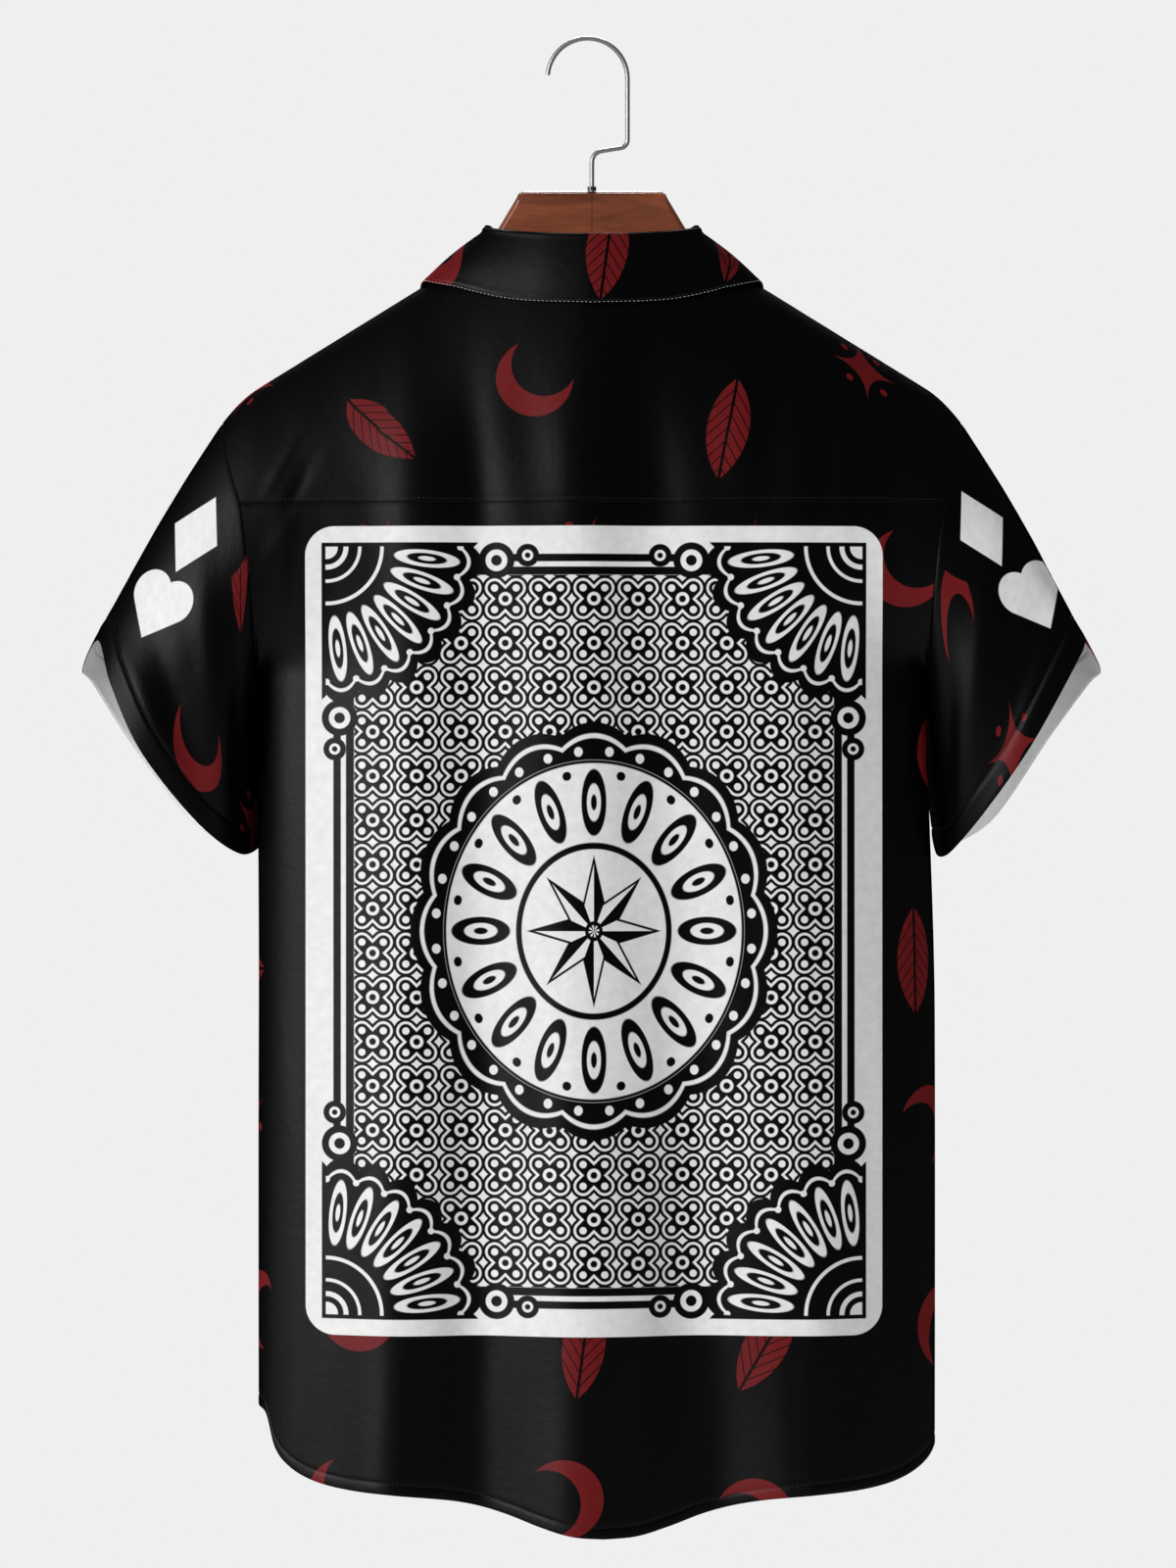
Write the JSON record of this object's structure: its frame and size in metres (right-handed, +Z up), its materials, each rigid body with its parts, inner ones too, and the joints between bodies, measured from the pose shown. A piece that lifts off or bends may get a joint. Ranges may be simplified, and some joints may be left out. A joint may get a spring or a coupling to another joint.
{
  "type": "short-sleeved hawaiian shirt on a wooden hanger",
  "caption": "Printed short-sleeved button-up shirt with a folded collar and a curved hem, hanging on a wooden hanger with a wire hook.",
  "frame": {"origin": "the inside top of the hook's bend, where a rail carries the hanger", "axes": "+Z up along the shirt; +Y towards the buttoned front; +X towards the wearer's right"},
  "size_m": [0.6287, 0.1322, 0.9198],
  "materials": {
    "printed_cloth": "smooth plain-woven cloth, black, printed in dark red and white, white on its inner face",
    "button": "black moulded button with a raised rim and four holes",
    "wood": "brown varnished wood",
    "wire": "bright plated wire",
    "ferrule": "small dark metal ring"
  },
  "bodies": {
    "root": {"back": "printed_cloth", "yoke": "printed_cloth", "front_left": "printed_cloth", "front_right": "printed_cloth", "sleeve_left": "printed_cloth", "sleeve_right": "printed_cloth", "collar": "printed_cloth", "button_1": "button", "button_2": "button", "button_3": "button", "button_4": "button", "button_5": "button", "button_6": "button", "button_7": "button", "hanger_half_left": "wood", "hanger_half_right": "wood", "hanger_hook": "wire", "hook_collar": "ferrule"}
  },
  "joints": []
}
